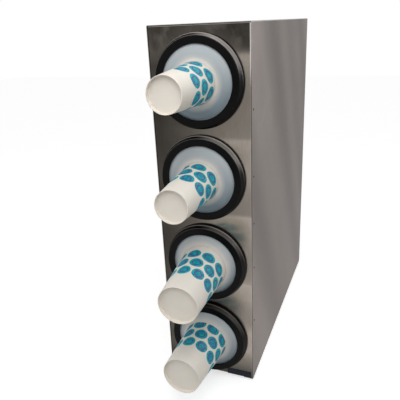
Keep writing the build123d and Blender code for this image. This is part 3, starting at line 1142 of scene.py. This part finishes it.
def gasket(bay):
    """Soft domed skin whose hole follows the leaning cup, with a rolled lip against it."""
    skin_rows = 14
    shell = bmesh.new()
    lip_layer = shell.verts.layers.float.new("from_lip")
    rows = []
    for side in range(round_sides):
        turn = 2 * pi * side / round_sides
        direction = Vector((cos(turn), sin(turn)))
        edge = lip_edge(bay, direction)
        rim = direction * gasket_radius
        outer = [(Vector((*rim, height)), 1.0) for height in (gasket_back, dome_root_height)]
        skin = []
        for step in range(skin_rows + 1):
            spot = (direction * dome_root_radius).lerp(edge, (step / skin_rows) ** 0.8)
            from_cup = (spot - edge).length
            flare = lip_flare * max(0.0, 1 - from_cup / lip_flare_reach) ** 2
            thickening = min(1.0, from_cup / lip_thin_reach)
            thickness = lip_thickness + (gasket_thickness - lip_thickness) * thickening
            skin.append((spot, dome_height(spot.length) + flare, thickness, from_cup / cup_glow_reach))
        outer += [(Vector((*spot, top)), far) for spot, top, _, far in skin]
        outer += [(Vector((*spot, top - thickness)), far) for spot, top, thickness, far in reversed(skin)]
        row = []
        for point, far in outer:
            vert = shell.verts.new(point)
            vert[lip_layer] = far
            row.append(vert)
        rows.append(row)
    for row, following in zip(rows, rows[1:] + rows[:1]):
        for at in range(len(row)):
            shell.faces.new((row[at - 1], row[at], following[at], following[at - 1]))
    bay_piece("gasket", bay, shell, gasket_silicone, kind="skin", sharp_angle=60)


def front_cup(bay):
    """Paper cup with a rolled rim, and a base set up inside its skirt."""
    height, rim_radius, base_radius = cups[bay]
    taper = (rim_radius - base_radius) / height
    floor_at = height - cup_recess
    inner_floor_at = floor_at - cup_wall
    bead_radius = rim_bead_height / 2
    bead_centre = rim_radius + rim_bead - bead_radius
    turns = [pi / 2 - 1.75 * pi * step / 12 for step in range(13)]
    outline = [
        (base_radius, height),
        (rim_radius - taper * rim_bead_height, rim_bead_height),
        *[(bead_centre + bead_radius * cos(turn), bead_radius + bead_radius * sin(turn)) for turn in turns],
        (rim_radius - cup_wall - taper * inner_floor_at, inner_floor_at),
        (0, inner_floor_at),
        (0, floor_at),
        (base_radius - cup_skirt, floor_at),
        (base_radius - cup_skirt, height),
    ]
    material = medium_paper if cups[bay] == medium_cup else large_paper
    bay_piece("front_cup", bay, turned(rounded(outline, 0.35)), material, cup_place(bay))


def pusher(bay):
    """Cup-shaped follower that slides in the bore, just behind the rearmost point of the leaning rim."""
    height, rim_radius, _ = cups[bay]
    drift = Vector(base_drifts[bay]).length
    rim_back = rim_depths[bay] + (rim_radius + rim_bead) * drift / height
    front = -rim_back - 0.3
    back = front - pusher_length
    inner = pusher_radius - pusher_wall
    inside = front - pusher_floor
    outline = [(0, front), (pusher_radius, front), (pusher_radius, back)]
    outline += [(inner, back), (inner, inside), (0, inside)]
    bay_piece("pusher", bay, turned(rounded(outline, 1.0)), tube_plastic)


def coil_tree():
    """A coil spring with closed ends, swept from its wire, turns and length."""
    measures = dict.fromkeys(("Coil Radius", "Wire Radius", "Turns", "Back", "Length"), "Float")
    inputs = {"Start": "Geometry", **measures, "Points": "Int", "Finish": "Material"}
    tree, given, result = new_group("coil", inputs, {"Coil": "Geometry"}, "GeometryNodeTree")
    line = join(tree, "GeometryNodeCurvePrimitiveLine", {"End": (0, 0, 1)}).outputs["Curve"]
    fine = join(tree, "GeometryNodeResampleCurve", {"Curve": line, "Count": given["Points"]}).outputs["Curve"]
    share = join(tree, "GeometryNodeSplineParameter").outputs["Factor"]
    turn = times(tree, times(tree, share, given["Turns"]), 2 * pi)
    rise = join(tree, "ShaderNodeMapRange", {"Value": share, "From Min": 0.07, "From Max": 0.93})
    place = {
        "X": times(tree, arithmetic(tree, "COSINE", turn), given["Coil Radius"]),
        "Y": times(tree, arithmetic(tree, "SINE", turn), given["Coil Radius"]),
        "Z": arithmetic(tree, "MULTIPLY_ADD", rise.outputs["Result"], given["Length"], given["Back"]),
    }
    position = join(tree, "ShaderNodeCombineXYZ", place).outputs[0]
    moved = join(tree, "GeometryNodeSetPosition", {"Geometry": fine, "Position": position})
    wire = join(tree, "GeometryNodeCurvePrimitiveCircle", {"Resolution": 8, "Radius": given["Wire Radius"]})
    swept = join(
        tree,
        "GeometryNodeCurveToMesh",
        {"Curve": moved.outputs["Geometry"], "Profile Curve": wire.outputs["Curve"], "Fill Caps": True},
    )
    finish_with(tree, swept.outputs["Mesh"], given["Finish"], result["Coil"])
    return tree


coil = coil_tree()


def spring(bay):
    """Coil spring from the end cap to the pusher, which flattens as the pusher goes back."""
    low, high = (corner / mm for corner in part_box(f"spring_{bay + 1}"))
    values = {
        "Coil Radius": (spring_radius - wire_radius) * mm,
        "Wire Radius": wire_radius * mm,
        "Turns": float(coil_turns),
        "Back": -(high.y - front_y - wire_radius) * mm,
        "Length": (high.y - low.y - 2 * wire_radius) * mm,
        "Points": coil_turns * 40,
        "Finish": spring_wire,
    }
    piece = grown(bpy.data.meshes.new(f"coil_spring_{bay + 1}"), coil, values)
    place = bay_place(bay)
    place.translation *= mm
    piece.data.transform(place)
    for face in piece.data.polygons:
        face.use_smooth = True
    take_place(piece, f"spring_{bay + 1}", spring_wire)
    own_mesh(piece)


tube_outline = [(bore_radius, tube_back), (tube_radius, tube_back), (tube_radius, 0), (bore_radius, 0)]
cap_outline = [(0, tube_back), (cap_radius, tube_back), (cap_radius, cap_front), (0, cap_front)]
for bay in range(bay_count):
    bay_piece("dispenser_tube", bay, turned(rounded(tube_outline, 0.3)), tube_plastic)
    bay_piece("end_cap", bay, turned(rounded(cap_outline, 0.8)), tube_plastic)
    tube_collar(bay)
    trim_ring(bay)
    gasket(bay)
    front_cup(bay)
    pusher(bay)
    spring(bay)


# Studio


def shown_white(tree):
    """1 where the surface or sky is looked at straight on, in a reflection or through glass."""
    light_path = join(tree, "ShaderNodeLightPath").outputs
    seen = plus(tree, light_path["Is Camera Ray"], light_path["Is Glossy Ray"], clamp=True)
    return plus(tree, seen, light_path["Is Transmission Ray"], clamp=True)


def floor():
    """A pale floor that keeps the soft shadow of what stands on it."""
    shell = bmesh.new()
    bmesh.ops.create_grid(shell, x_segments=1, y_segments=1, size=6000)
    piece = make_object("studio_floor", shell, outward=False)
    material, tree, shader = new_finish(
        "pale_floor",
        base_color=(0.65, 0.65, 0.65, 1),
        roughness=1.0,
        specular_ior_level=0.0,
        emission_color=(1, 1, 1, 1),
    )
    tree.links.new(times(tree, shown_white(tree), 0.62), shader["Emission Strength"])
    dress(piece, material)


def sky():
    """An even white surround, whose light on the object is softer than it looks."""
    world = bpy.data.worlds.new("studio")
    bpy.context.scene.world = world
    world.use_nodes = True
    tree = world.node_tree
    background = tree.nodes["Background"].inputs
    background["Color"].default_value = (1, 1, 1, 1)
    strength = arithmetic(tree, "MULTIPLY_ADD", shown_white(tree), 0.45, 0.55)
    tree.links.new(strength, background["Strength"])


def softbox(name, place, aim, size, power, up=(0, 0, 1), mirrored=False):
    """A flat lamp that only lights, or only shows in polished surfaces; its height runs nearest to up."""
    light = bpy.data.lights.new(name, "AREA")
    light.shape = "RECTANGLE"
    light.size, light.size_y = size
    light.energy = power
    lamp = bpy.data.objects.new(name, light)
    lamp.location = place
    back = (Vector(place) - Vector(aim)).normalized()
    across = Vector(up).cross(back).normalized()
    lamp.rotation_euler = Matrix((across, back.cross(across), back)).transposed().to_euler()
    lamp.visible_glossy = mirrored
    lamp.visible_diffuse = not mirrored
    bpy.context.scene.collection.objects.link(lamp)


def camera():
    """Looks down a little at the front and the right-hand side, from the height of the cabinet's top."""
    lens = bpy.data.cameras.new("camera")
    lens.lens = 42.13
    lens.sensor_width = 36
    lens.clip_start = 0.02
    eye = bpy.data.objects.new("camera", lens)
    eye.location = (0.3285, -1.0489, 0.7724)
    eye.rotation_euler = [radians(turn) for turn in (69.3794, 2.4991, 21.1211)]
    bpy.context.scene.collection.objects.link(eye)
    bpy.context.scene.camera = eye


floor()
sky()
softbox("key", (0.3, -0.85, 1.4), (0, -0.23, 0.6), (0.8, 0.8), 8)
softbox("fill", (-1.3, -1.1, 1.0), (0, 0, 0.4), (1.0, 1.0), 3)
softbox(
    "glint", (0.78, 0.244, 1.5), (0.03, -0.23, 0.6), (0.6, 1.8), 45, (-0.757, 0.107, 0.646), mirrored=True
)
camera()
bpy.context.scene.view_settings.view_transform = "Standard"
